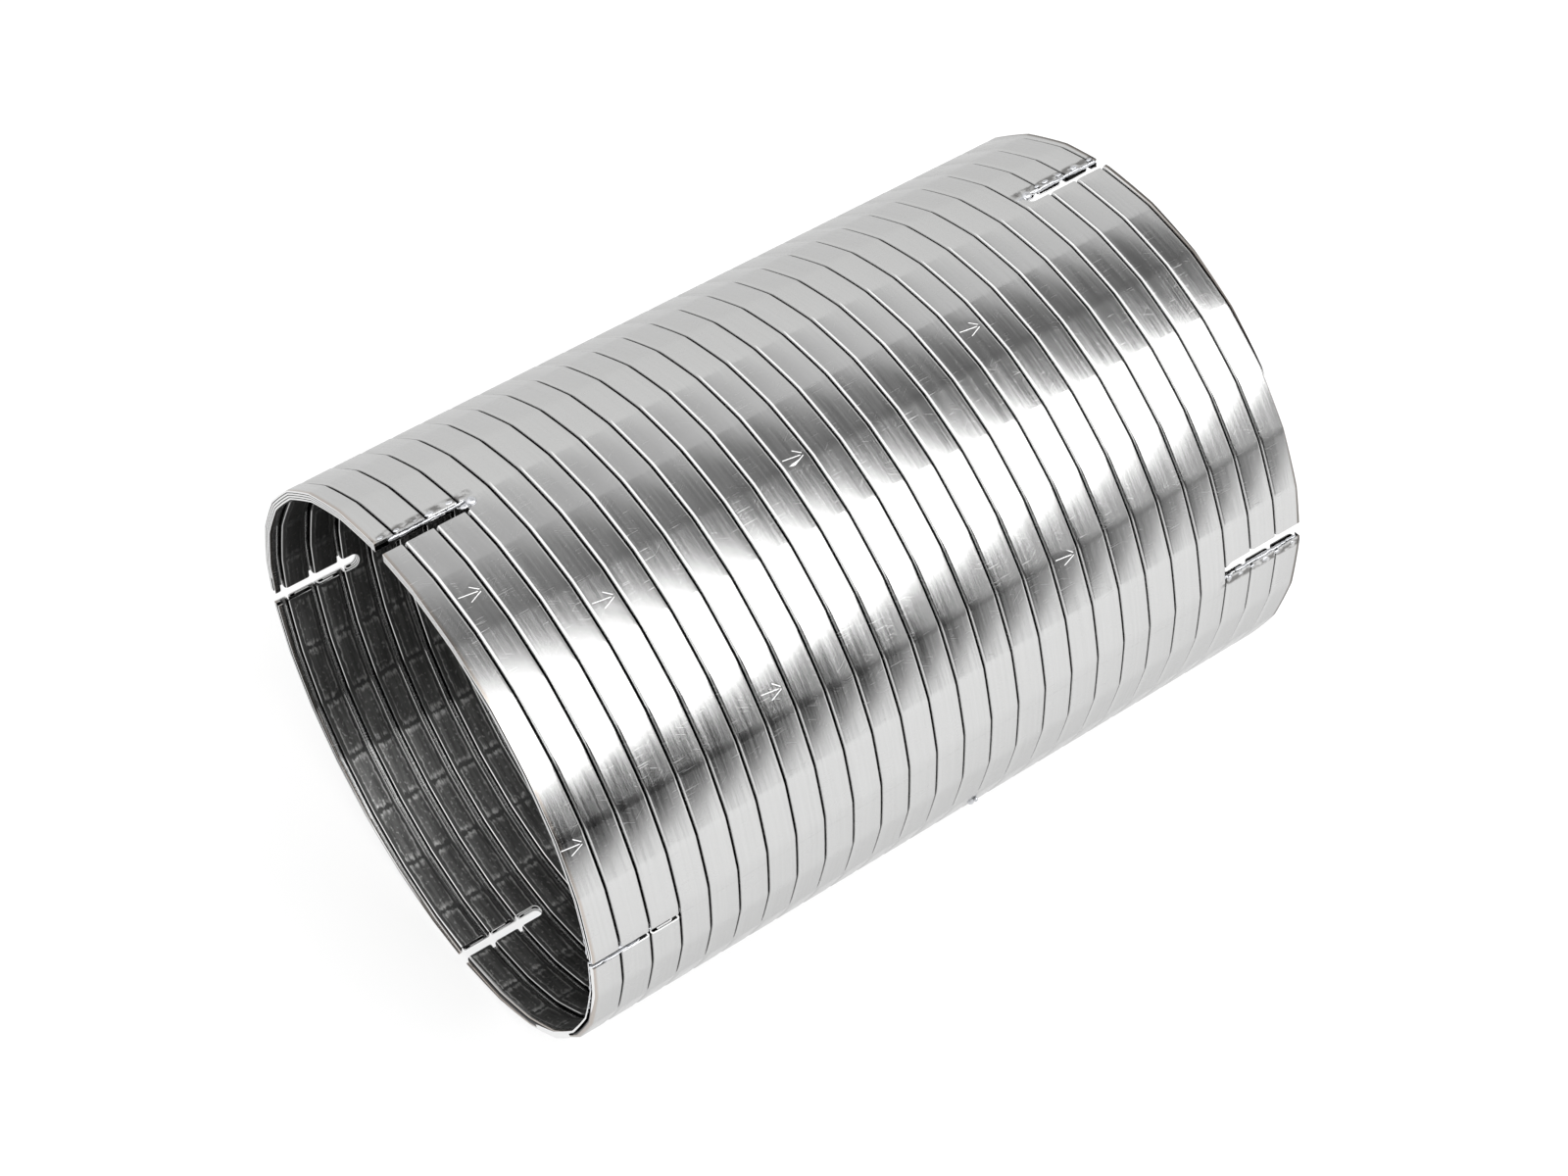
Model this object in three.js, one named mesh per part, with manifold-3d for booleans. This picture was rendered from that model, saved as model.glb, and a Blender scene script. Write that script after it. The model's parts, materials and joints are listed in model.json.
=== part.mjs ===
// Stripwound flexible pipe with slotted clamp ends, in millimetres, +Z up.
// One steel strip is rolled to an S section, wound as a right-handed helix and hooked to itself turn by turn.
// The pipe lies along X on a flat of its facets: end A is at -X, end B at +X, and z = 0 is under the lowest flat.
// An angle is counted in turns from the top (+Z) towards the front (-Y), and grows along the strip.
import * as THREE from "three";
import { mergeVertices } from "three/addons/utils/BufferGeometryUtils.js";
import Module from "manifold-3d";

const LENGTH = 200;
const APOTHEM = 69.2; // from the axis to the flat of an outer facet
const FACETS = 16;
const PITCH = 7.74;
const FIRST_SEAM = 5.5; // from end A to the first seam, along the top
const STRIP_END_GAP = 0.3; // between one turn's node and the next, along the strip

// The strip and its interlock.
const THICKNESS = 0.4;
const LAYER_GAP = 0.2; // between the four layers of a seam, across the wall
const SEAM_GAP = 0.5; // between neighbouring bands, along the axis
const HOOK = 4.14; // length of each hooked edge
const WALL = 4 * THICKNESS + 3 * LAYER_GAP;

// The clamp slots, whose angles are in degrees.
const SLOT_WIDTH = 2.4;
const SLOT_DEPTH = 22.6;
const SLOTS_A = [85.7, 173.8, 267.1, 354.7];
const SLOTS_B = [81.6, 171.6, 261.6, 351];
const CUT_PAST = 3; // how far a cutter runs past what it cuts

// The weld along one edge of each slot: a row of beads from the rim to the blind end.
const BEAD_PITCH = 3.4;
const BEAD_COUNT = 6;
const BEAD_HEIGHT = 0.36;
const WELD_BACK = 0.34; // thickness of the row behind the beads
const WELD_CLEARANCE = 0.3;
const WELD_START = 0.8; // from the rim

const SMALLEST_PIECE = 12; // mm3: a thinner offcut at a rim isn't kept

// Turn nodes are numbered along the strip, from end A.
const FIRST_TURN = 3;
const TURNS = 22;

const wasm = await Module();
wasm.setup();

const steel = new THREE.MeshStandardMaterial({ color: 0xb7babc, roughness: 0.34, metalness: 1 });
const rimSteel = new THREE.MeshStandardMaterial({ color: 0xa6a9ab, roughness: 0.4, metalness: 1 });
const weldMetal = new THREE.MeshStandardMaterial({ color: 0x85888b, roughness: 0.55, metalness: 1 });

const turns = (degrees) => degrees / 360;
const seamAt = (turn) => -LENGTH / 2 + FIRST_SEAM + PITCH * turn;

// The S section as (distance along the axis, depth below the outer flat), closed on itself.
function stripSection() {
  const level = THICKNESS + LAYER_GAP;
  const band = PITCH - SEAM_GAP;
  const end = PITCH + band - THICKNESS - SEAM_GAP;
  const outer = 0;
  const tucked = level; // the hooked edge of the turn before, under the outer band
  const hooked = 2 * level;
  const inner = 3 * level;
  const t = THICKNESS;
  const corners = [
    [HOOK, hooked + t],
    [0, hooked + t],
    [0, outer],
    [band, outer],
    [band, inner],
    [end - t, inner],
    [end - t, tucked + t],
    [end - HOOK, tucked + t],
    [end - HOOK, tucked],
    [end, tucked],
    [end, inner + t],
    [band - t, inner + t],
    [band - t, outer + t],
    [t, outer + t],
    [t, hooked],
    [HOOK, hooked],
  ];
  return corners.map(([along, depth]) => new THREE.Vector2(along, depth));
}

// The section swept along the helix from one turn count to another, with a station at each facet corner.
function stripSolid(from, to) {
  const section = stripSection();
  const closed = [...section, section[0]];
  const stations = [from];
  for (let corner = Math.ceil(from * FACETS - 0.5) + 0.5; corner / FACETS < to; corner += 1) {
    if (corner / FACETS > from) stations.push(corner / FACETS);
  }
  stations.push(to);
  const geometry = new THREE.LatheGeometry(closed, stations.length - 1);
  const position = geometry.attributes.position;
  stations.forEach((turn, i) => {
    const facet = Math.round(turn * FACETS - 1e-6) / FACETS;
    const angle = 2 * Math.PI * turn;
    const stretch = 1 / Math.cos(angle - 2 * Math.PI * facet);
    closed.forEach((corner, j) => {
      const radius = (APOTHEM - corner.y) * stretch;
      const along = seamAt(turn) + corner.x;
      position.setXYZ(i * closed.length + j, along, -radius * Math.sin(angle), radius * Math.cos(angle));
    });
  });
  const index = [...geometry.index.array];
  const last = (stations.length - 1) * closed.length;
  for (const [a, b, c] of THREE.ShapeUtils.triangulateShape(section, [])) {
    index.push(a, b, c);
    index.push(last + a, last + c, last + b);
  }
  geometry.setIndex(index);
  return solidOf(geometry);
}

function solidOf(geometry) {
  const bare = geometry.clone();
  bare.deleteAttribute("normal");
  bare.deleteAttribute("uv");
  const merged = mergeVertices(bare, 1e-4);
  const mesh = new wasm.Mesh({
    numProp: 3,
    vertProperties: merged.attributes.position.array,
    triVerts: new Uint32Array(merged.index.array),
  });
  return new wasm.Manifold(mesh);
}

function geometryOf(solid) {
  const { vertProperties, triVerts } = solid.getMesh();
  const geometry = new THREE.BufferGeometry();
  geometry.setAttribute("position", new THREE.BufferAttribute(new Float32Array(vertProperties), 3));
  geometry.setIndex(new THREE.BufferAttribute(new Uint32Array(triVerts), 1));
  geometry.computeVertexNormals();
  return geometry;
}

// Puts a shape made at the top of the pipe, with x = 0 at a rim and +X into the pipe, at a slot of either end.
function atSlot(geometry, end, degrees) {
  const place = new THREE.Matrix4().makeRotationX(2 * Math.PI * turns(degrees));
  if (end > 0) place.multiply(new THREE.Matrix4().makeRotationZ(Math.PI));
  place.multiply(new THREE.Matrix4().makeTranslation(-LENGTH / 2, 0, APOTHEM));
  return geometry.applyMatrix4(place);
}

function slotSolid(end, degrees) {
  const radius = SLOT_WIDTH / 2;
  const straight = SLOT_DEPTH - radius;
  const outline = new THREE.Shape();
  outline.moveTo(-CUT_PAST, -radius);
  outline.lineTo(straight, -radius);
  outline.absarc(straight, 0, radius, -Math.PI / 2, Math.PI / 2, false);
  outline.lineTo(-CUT_PAST, radius);
  const height = WALL + 2 * CUT_PAST;
  const cutter = new THREE.ExtrudeGeometry(outline, { depth: height, bevelEnabled: false, curveSegments: 3 });
  cutter.translate(0, 0, -WALL - CUT_PAST);
  return solidOf(atSlot(cutter, end, degrees));
}

// A row of beads along a slot's edge; side is +1 for the edge at the greater angle.
function weldGeometry(end, degrees, side) {
  const edge = SLOT_WIDTH / 2 - WELD_CLEARANCE;
  const front = edge - WELD_BACK;
  const length = BEAD_PITCH * BEAD_COUNT;
  const outline = new THREE.Shape();
  outline.moveTo(WELD_START, edge);
  outline.lineTo(WELD_START, front);
  for (let bead = 0; bead < BEAD_COUNT; bead += 1) {
    const x = WELD_START + bead * BEAD_PITCH;
    outline.quadraticCurveTo(x + BEAD_PITCH / 2, front - 2 * BEAD_HEIGHT, x + BEAD_PITCH, front);
  }
  outline.lineTo(WELD_START + length, edge);
  const row = new THREE.ExtrudeGeometry(outline, {
    depth: WALL - 2 * LAYER_GAP,
    bevelEnabled: false,
    curveSegments: 2,
  });
  row.translate(0, 0, LAYER_GAP - WALL);
  if (side * end < 0) row.rotateX(Math.PI).translate(0, 0, -WALL);
  return atSlot(row, end, degrees);
}

function centreTurn(solid) {
  const { min, max } = solid.boundingBox();
  const angle = Math.atan2(-(min[1] + max[1]) / 2, (min[2] + max[2]) / 2);
  return (angle / (2 * Math.PI) + 1) % 1;
}

// The largest piece of the solid in each of the four tabs between the slots, or nothing where it is an offcut.
function tabPieces(solid, slots) {
  const tabs = [null, null, null, null];
  for (const piece of solid.decompose()) {
    const degrees = 360 * centreTurn(piece);
    const tab = (slots.filter((slot) => slot < degrees).length + 3) % 4;
    const larger = !tabs[tab] || piece.volume() > tabs[tab].volume();
    if (larger && piece.volume() > SMALLEST_PIECE) tabs[tab] = piece;
  }
  return tabs;
}

const pipe = new THREE.Group();
pipe.position.z = APOTHEM;

function addNode(name, geometry, material) {
  const mesh = new THREE.Mesh(geometry, material);
  mesh.name = name;
  pipe.add(mesh);
}

const between = solidOf(new THREE.BoxGeometry(LENGTH, 4 * APOTHEM, 4 * APOTHEM));
const slotsOfA = SLOTS_A.map((degrees) => slotSolid(-1, degrees));
const slotsOfB = SLOTS_B.map((degrees) => slotSolid(1, degrees));
const allSlots = wasm.Manifold.union([...slotsOfA, ...slotsOfB]);

const cutA = turns(SLOTS_A[0]);
const cutB = turns(SLOTS_B[0]);
const trim = STRIP_END_GAP / (2 * Math.PI * APOTHEM) / 2;

// The whole turns, from the last one that end A's slots leave in one piece to the last before end B's.
for (let i = 0; i < TURNS; i += 1) {
  const end = i === TURNS - 1 ? TURNS + cutB : i + 1 + cutA;
  const turn = stripSolid(i + cutA + trim, end - trim).subtract(allSlots);
  const name = "turn_" + String(FIRST_TURN + i).padStart(2, "0");
  addNode(name, geometryOf(turn), steel);
}

// The turns that the slots sever, as arcs of four tabs at each end.
const ringsOfA = [
  ["liner", cutA - 3],
  ["rim", cutA - 2],
  ["root", cutA - 1],
];
const ringsOfB = [
  ["root", TURNS + cutB],
  ["mid", TURNS + cutB + 1],
  ["rim", TURNS + cutB + 2],
];
for (const [letter, rings, slots] of [
  ["a", ringsOfA, SLOTS_A],
  ["b", ringsOfB, SLOTS_B],
]) {
  for (const [ring, start] of rings) {
    const severed = stripSolid(start + trim, start + 1 - trim).intersect(between).subtract(allSlots);
    tabPieces(severed, slots).forEach((piece, i) => {
      if (piece) addNode("tab_" + letter + (i + 1) + "_" + ring, geometryOf(piece), rimSteel);
    });
  }
}

SLOTS_A.forEach((degrees, i) => addNode("weld_a" + (i + 1), weldGeometry(-1, degrees, -1), weldMetal));
SLOTS_B.forEach((degrees, i) => addNode("weld_b" + (i + 1), weldGeometry(1, degrees, i ? -1 : 1), weldMetal));

export default pipe;
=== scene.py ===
import json
import math

import bmesh
import bpy
import numpy as np
from bpy.props import FloatProperty, FloatVectorProperty, IntProperty, PointerProperty
from mathutils import Matrix, Vector


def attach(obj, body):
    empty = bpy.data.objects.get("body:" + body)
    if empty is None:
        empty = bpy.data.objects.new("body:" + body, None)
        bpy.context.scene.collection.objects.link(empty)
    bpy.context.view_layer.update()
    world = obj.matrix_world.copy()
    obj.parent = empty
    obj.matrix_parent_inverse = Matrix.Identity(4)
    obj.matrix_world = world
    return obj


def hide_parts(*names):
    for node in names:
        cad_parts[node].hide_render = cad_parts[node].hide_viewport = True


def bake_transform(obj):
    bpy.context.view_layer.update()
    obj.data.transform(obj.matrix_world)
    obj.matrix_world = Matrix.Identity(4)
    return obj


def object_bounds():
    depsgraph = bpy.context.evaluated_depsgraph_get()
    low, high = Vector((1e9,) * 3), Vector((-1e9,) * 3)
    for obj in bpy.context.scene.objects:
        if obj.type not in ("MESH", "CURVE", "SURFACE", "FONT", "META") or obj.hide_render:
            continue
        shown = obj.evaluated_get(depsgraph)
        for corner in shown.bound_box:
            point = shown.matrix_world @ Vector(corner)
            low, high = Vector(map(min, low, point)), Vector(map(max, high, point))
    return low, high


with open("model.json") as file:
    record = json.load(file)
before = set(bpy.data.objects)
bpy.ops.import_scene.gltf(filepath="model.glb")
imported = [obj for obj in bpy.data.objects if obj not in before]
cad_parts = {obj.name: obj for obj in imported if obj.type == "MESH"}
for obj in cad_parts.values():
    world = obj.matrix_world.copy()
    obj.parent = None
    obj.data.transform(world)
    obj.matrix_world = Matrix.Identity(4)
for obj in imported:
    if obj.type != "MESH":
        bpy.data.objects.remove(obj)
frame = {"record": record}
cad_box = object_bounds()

bl_info = {
    "name": "Strip-wound flexible pipe",
    "version": (1, 0, 0),
    "blender": (4, 5, 0),
    "location": "View3D > Sidebar > Pipe",
    "description": "Winds the strip, cuts the clamp slots, lays the tack welds and sets the stage",
    "category": "Add Mesh",
}

LOW, HIGH = (Vector(corner) for corner in cad_box)
LENGTH = HIGH.x - LOW.x
APOTHEM = (HIGH.z - LOW.z) / 2
AXIS_Z = (HIGH.z + LOW.z) / 2
MM = 0.001

BODY_OF = {node: body for body, nodes in frame["record"]["behaviour"]["bodies"].items() for node in nodes}

# Where the strip is severed, as in the frame: the slots' angles in degrees, and the turns between them.
SLOTS = {"a": (85.7, 173.8, 267.1, 354.7), "b": (81.6, 171.6, 261.6, 351.0)}
# How each slot was sawn: its width, and how far it lies towards greater angles, both in millimetres.
SAWN = {
    "a1": (1.9, 0.55),
    "a2": (3.6, 1.3),
    "a3": (4.6, -1.8),
    "a4": (3.5, 0.25),
    "b1": (4.0, -1.2),
    "b2": (3.0, 0.0),
    "b3": (3.0, 0.0),
    "b4": (3.6, -0.4),
}
FIRST_TURN = 3
TURNS = 22
LAST_SAWN_AT_A = 4  # the turns up to this one are sawn at end A and ride on it
FIRST_SAWN_AT_B = 23  # the turns from this one on are sawn at end B
FIRST_CUT = {"a": SLOTS["a"][0] / 360, "b": SLOTS["b"][0] / 360}
RINGS = {
    "a": {"liner": FIRST_CUT["a"] - 3, "rim": FIRST_CUT["a"] - 2, "root": FIRST_CUT["a"] - 1},
    "b": {
        "root": TURNS + FIRST_CUT["b"],
        "mid": TURNS + 1 + FIRST_CUT["b"],
        "rim": TURNS + 2 + FIRST_CUT["b"],
    },
}
# The turn counts of the arrows at the front and top; the others are spread between them, out of sight.
ARROW_PLACES = {0: -0.834, 2: 0.034, 9: 3.068, 16: 6.147, 25: 10.05, 39: 16.162, 41: 17.033}
ARROWS = 58
ARROW_SPACING = 0.436  # in turns, past the last arrow that is placed
ARROW_MARGIN = 0.01  # in turns, kept free of arrows at the ends of a piece of strip
HIDDEN_SIDE = (118 / 360, 300 / 360)
JOIN_GAP = 2e-5  # turns left open where one turn's piece meets the next
SMALLEST_OFFCUT = 8e-9  # cubic metres
CUT_PAST = 0.01  # how far a saw cut starts outside the rim
SHARP_ANGLE = math.radians(38)


def millimetres(name, description, default):
    """A size, given in millimetres and kept in metres."""
    return FloatProperty(name=name, description=description, default=default * MM, unit="LENGTH")


def factor(name, description, default):
    return FloatProperty(name=name, description=description, default=default, subtype="FACTOR")


def count(name, description, default):
    return IntProperty(name=name, description=description, default=default)


def colour(name, description, default):
    return FloatVectorProperty(name=name, description=description, default=default, subtype="COLOR")


def angle(name, description, degrees):
    return FloatProperty(name=name, description=description, default=math.radians(degrees), unit="ROTATION")


class StripSizes(bpy.types.PropertyGroup):
    """The rolled strip and how it is wound."""

    pitch: millimetres("Pitch", "Advance of the strip in one turn", 7.74)
    first_seam: millimetres("First Seam", "From end A to the first seam, along the top", 5.5)
    thickness: millimetres("Thickness", "Thickness of the strip", 0.4)
    layer: millimetres("Layer", "Depth from one layer of the interlock to the next", 0.6)
    seam_gap: millimetres("Seam Gap", "Gap between neighbouring outer bands", 0.45)
    bore_gap: millimetres("Bore Gap", "Gap between neighbouring inner bands", 1.0)
    hook: millimetres("Hook", "Length of each hooked edge", 4.14)
    bend: millimetres("Bend", "Radius of the step through the wall, at mid-thickness", 0.36)
    roll: millimetres("Roll", "Radius of the hooked edges, at mid-thickness", 0.58)
    bend_steps: count("Bend Steps", "Faces round each fold", 5)
    facets: count("Facets", "Flats that the rolling leaves in one turn", 28)
    first_corner: FloatProperty(
        name="First Corner", description="Angle of the first facet corner, in turns", default=6.0 / 360
    )
    flatness: factor("Flatness", "0 for a round turn, 1 for flat facets", 0.65)
    crowding: factor("Crowding", "How far the stations gather at the corners", 0.6)
    steps: count("Steps", "Stations in each facet", 6)


class SlotSizes(bpy.types.PropertyGroup):
    """The sawn clamp slots and the welds along them."""

    depth: millimetres("Depth", "From the rim to the slot's round blind end", 22.6)
    bead_pitch: millimetres("Bead Pitch", "Between neighbouring weld beads", 3.9)
    bead_start: millimetres("Bead Start", "From the rim to the first bead", 2.6)
    beads: count("Beads", "Weld beads in a row", 5)
    lip_pitch: millimetres("Lip Pitch", "Between the lumps of the molten lip", 1.5)
    lip_lumps: count("Lip Lumps", "Lumps in the molten lip of a slot's edge", 12)


class ArrowSizes(bpy.types.PropertyGroup):
    """The flow arrows stamped into the outer band."""

    length: millimetres("Length", "From tail to tip", 5.0)
    stroke: millimetres("Stroke", "Width of a stamped line", 0.2)
    sink: millimetres("Sink", "Depth of a stamped line", 0.1)


class Finishes(bpy.types.PropertyGroup):
    """Colours and gloss of the steel."""

    steel: colour("Steel", "Colour of the brushed outer band", (0.62, 0.62, 0.618))
    # the inner band's colour is partly its own oiled tone and partly painted shade: it is kept very dark for
    # the shade inside the bore
    bore: colour("Bore", "Colour of the oiled inner band", (0.075, 0.075, 0.074))
    pad: colour("Pad", "Colour of the scuffed pad in each facet", (0.21, 0.21, 0.207))
    weld: colour("Weld", "Colour of the weld metal", (0.42, 0.42, 0.425))
    gloss: factor("Roughness", "Roughness of the outer band", 0.2)


class StageSizes(bpy.types.PropertyGroup):
    """The camera and the light."""

    azimuth: angle("Azimuth", "Camera's turn about the vertical", -35.96)
    elevation: angle("Elevation", "Camera's height angle", 49.44)
    distance: FloatProperty(
        name="Distance", description="From the camera to the pipe's middle", default=0.7227, unit="LENGTH"
    )
    drop: millimetres("Drop", "How far below the pipe's middle the camera aims", 3.95)
    lens: FloatProperty(name="Lens", description="Focal length in millimetres", default=70.02)
    softbox: FloatProperty(name="Softbox", description="Power of the softbox, in watts", default=14.0)


# Node trees, for shapes and for materials.


class Number:
    """A number inside a node tree, so that a formula on it reads as arithmetic."""

    def __init__(self, tree, socket):
        self.tree = tree
        self.socket = socket

    def math(self, operation, *others):
        node = self.tree.nodes.new("ShaderNodeMath")
        node.operation = operation
        for socket, value in zip(node.inputs, (self, *others)):
            feed(self.tree, socket, value)
        return Number(self.tree, node.outputs[0])

    def __add__(self, other):
        return self.math("ADD", other)

    def __sub__(self, other):
        return self.math("SUBTRACT", other)

    def __mul__(self, other):
        return self.math("MULTIPLY", other)

    def __truediv__(self, other):
        return self.math("DIVIDE", other)

    def __rsub__(self, other):
        return self * -1.0 + other

    def __neg__(self):
        return self * -1.0

    __radd__ = __add__
    __rmul__ = __mul__


def feed(tree, socket, value):
    """Links a number, a socket or a node's first output to an input, or sets the input to a constant."""
    if isinstance(value, Number):
        value = value.socket
    if isinstance(value, bpy.types.Node):
        value = value.outputs[0]
    if isinstance(value, bpy.types.NodeSocket):
        tree.links.new(value, socket)
    else:
        socket.default_value = value


def feed_all(tree, node, inputs):
    """Feeds several inputs of a node, which are given by name or by place."""
    for name, value in inputs.items():
        feed(tree, node.inputs[name], value)


def add(tree, kind, inputs=None, **settings):
    """A new node with its settings and inputs."""
    node = tree.nodes.new(kind)
    for name, value in settings.items():
        setattr(node, name, value)
    feed_all(tree, node, inputs or {})
    return node


def vector(tree, x, y, z):
    return add(tree, "ShaderNodeCombineXYZ", {0: x, 1: y, 2: z}).outputs[0]


def split(tree, socket):
    node = add(tree, "ShaderNodeSeparateXYZ", {0: socket})
    return [Number(tree, output) for output in node.outputs]


def shape_tree(name, numbers=(), counts=(), objects=()):
    """A geometry tree with named inputs, and a dictionary of them."""
    tree = bpy.data.node_groups.new(name, "GeometryNodeTree")
    tree.interface.new_socket("Geometry", in_out="OUTPUT", socket_type="NodeSocketGeometry")
    for names, kind in (
        (numbers, "NodeSocketFloat"),
        (counts, "NodeSocketInt"),
        (objects, "NodeSocketObject"),
        (("Material",), "NodeSocketMaterial"),
    ):
        for each in names:
            tree.interface.new_socket(each, in_out="INPUT", socket_type=kind)
    group = tree.nodes.new("NodeGroupInput")
    given = {each: Number(tree, group.outputs[each]) for each in (*numbers, *counts)}
    given.update({each: group.outputs[each] for each in (*objects, "Material")})
    return tree, given


def finish_tree(tree, geometry, material):
    """Ends a geometry tree: smooth shading, realized instances, material."""
    smooth = add(tree, "GeometryNodeSetShadeSmooth", {"Geometry": geometry})
    real = add(tree, "GeometryNodeRealizeInstances", {"Geometry": smooth})
    painted = add(tree, "GeometryNodeSetMaterial", {"Geometry": real, "Material": material})
    output = tree.nodes.new("NodeGroupOutput")
    tree.links.new(painted.outputs[0], output.inputs[0])


def add_object(name, mesh):
    obj = bpy.data.objects.new(name, mesh)
    bpy.context.scene.collection.objects.link(obj)
    return obj


def object_shape(tree, given):
    """The geometry of the object that an input names."""
    return add(tree, "GeometryNodeObjectInfo", {"Object": given}).outputs["Geometry"]


def point_set(name, points):
    """An object of loose points that hands their coordinates to a tree."""
    mesh = bpy.data.meshes.new(name)
    mesh.from_pydata(points, [], [])
    return add_object(name, mesh)


def grow(name, tree, settings):
    """An object holding the plain mesh that a geometry tree makes from these named inputs."""
    obj = add_object(name, bpy.data.meshes.new(name))
    modifier = obj.modifiers.new(tree.name, "NODES")
    modifier.node_group = tree
    identifiers = {item.name: item.identifier for item in tree.interface.items_tree if item.in_out == "INPUT"}
    for key, value in settings.items():
        modifier[identifiers[key]] = value
    bake_modifiers(obj)
    return obj


def bake_modifiers(obj):
    """Turns what an object's modifiers make into its plain mesh."""
    depsgraph = bpy.context.evaluated_depsgraph_get()
    made = bpy.data.meshes.new_from_object(
        obj.evaluated_get(depsgraph), preserve_all_data_layers=True, depsgraph=depsgraph
    )
    old = obj.data
    obj.modifiers.clear()
    obj.data = made
    made.name = obj.name
    bpy.data.meshes.remove(old)


def carve(obj, tool, operation="DIFFERENCE"):
    """Cuts a closed piece with a closed tool, or keeps only what lies in the tool."""
    modifier = obj.modifiers.new("carve", "BOOLEAN")
    modifier.object = tool
    modifier.operation = operation
    modifier.solver = "MANIFOLD"
    bake_modifiers(obj)


def remove(obj):
    mesh = obj.data
    bpy.data.objects.remove(obj)
    bpy.data.meshes.remove(mesh)


def close_ends(obj):
    """Caps the open ends of a swept strip and turns its faces outwards."""
    form = bmesh.new()
    form.from_mesh(obj.data)
    bmesh.ops.dissolve_degenerate(form, dist=1e-7, edges=form.edges)
    bmesh.ops.holes_fill(form, edges=[edge for edge in form.edges if edge.is_boundary], sides=0)
    bmesh.ops.recalc_face_normals(form, faces=form.faces)
    form.to_mesh(obj.data)
    form.free()


def sharpen(obj):
    """Smooth faces, with the edges past the sharp angle kept crisp."""
    mesh = obj.data
    faces = len(mesh.polygons)
    normal = np.empty(faces * 3)
    mesh.polygons.foreach_get("normal", normal)
    normal = normal.reshape(-1, 3)
    edge = np.empty(len(mesh.loops), int)
    mesh.loops.foreach_get("edge_index", edge)
    total = np.empty(faces, int)
    mesh.polygons.foreach_get("loop_total", total)
    face = np.repeat(np.arange(faces), total)
    order = np.argsort(edge, kind="stable")
    start = np.searchsorted(edge[order], np.arange(len(mesh.edges)))
    near = face[order][start]
    far = face[order][np.minimum(start + 1, len(order) - 1)]
    sharp = (normal[near] * normal[far]).sum(1) < math.cos(SHARP_ANGLE)
    mark = mesh.attributes.get("sharp_edge") or mesh.attributes.new("sharp_edge", "BOOLEAN", "EDGE")
    mark.data.foreach_set("value", sharp)
    mesh.polygons.foreach_set("use_smooth", np.ones(faces, bool))


# The strip: its section, and the tree that winds it.


def fold_path(corners, radii, steps):
    """(point, normal) pairs along a path whose square corners are rounded."""
    path = []
    for i, corner in enumerate(corners):
        into = (corner - corners[i - 1]).normalized() if i else (corners[1] - corner).normalized()
        out = (corners[i + 1] - corner).normalized() if i + 1 < len(corners) else into
        if not i or i + 1 == len(corners):
            path.append((corner, Vector((-into.y, into.x))))
            continue
        radius = radii[i]
        centre = corner + (out - into) * radius
        for step in range(steps + 1):
            angle = math.pi / 2 * step / steps
            heading = into * math.cos(angle) + out * math.sin(angle)
            point = centre + (into * math.sin(angle) - out * math.cos(angle)) * radius
            path.append((point, Vector((-heading.y, heading.x))))
    return path


def section_points(sizes):
    """The S section as a closed loop: distance along the axis, depth below the flat, way round the loop."""
    half = sizes.thickness / 2
    band = sizes.pitch - sizes.seam_gap
    end = sizes.pitch + band - sizes.thickness - sizes.bore_gap
    outer, tucked, hooked, inner = (half + level * sizes.layer for level in range(4))
    corners = [
        (sizes.hook, hooked),
        (half, hooked),
        (half, outer),
        (band - half, outer),
        (band - half, inner),
        (end - half, inner),
        (end - half, tucked),
        (end - sizes.hook, tucked),
    ]
    radii = (0.0, sizes.roll, sizes.roll, sizes.bend, sizes.roll, sizes.roll, sizes.roll, 0.0)
    path = fold_path([Vector(corner) for corner in corners], radii, sizes.bend_steps)
    loop = [point + normal * half for point, normal in path]
    loop += [point - normal * half for point, normal in reversed(path)]
    loop.append(loop[0])
    around = 0.0
    points = []
    for i, point in enumerate(loop):
        around += (point - loop[i - 1]).length if i else 0.0
        points.append((point.x, point.y, around))
    return points


HELIX = ("Apothem", "Axis Height", "End", "Pitch", "First Seam", "First Corner", "Flatness")


def facet_angle(turn, given):
    """The angle from the middle of the facet that a turn count falls in."""
    place = (turn - given["First Corner"]) * given["Facets"]
    return (place.math("FRACT") - 0.5) / given["Facets"] * math.tau


def facet_stretch(turn, given):
    """How much further from the axis a point lies than at its facet's middle."""
    return facet_angle(turn, given).math("COSINE").math("POWER", -given["Flatness"])


def helix_point(tree, given, turn, along, depth):
    """The point at a turn count, a distance past the seam and a depth below the outer flat."""
    radius = (given["Apothem"] - depth) * facet_stretch(turn, given)
    angle = turn * math.tau
    x = given["End"] + given["First Seam"] + given["Pitch"] * turn + along
    y = -(radius * angle.math("SINE"))
    z = given["Axis Height"] + radius * angle.math("COSINE")
    return vector(tree, x, y, z)


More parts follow.
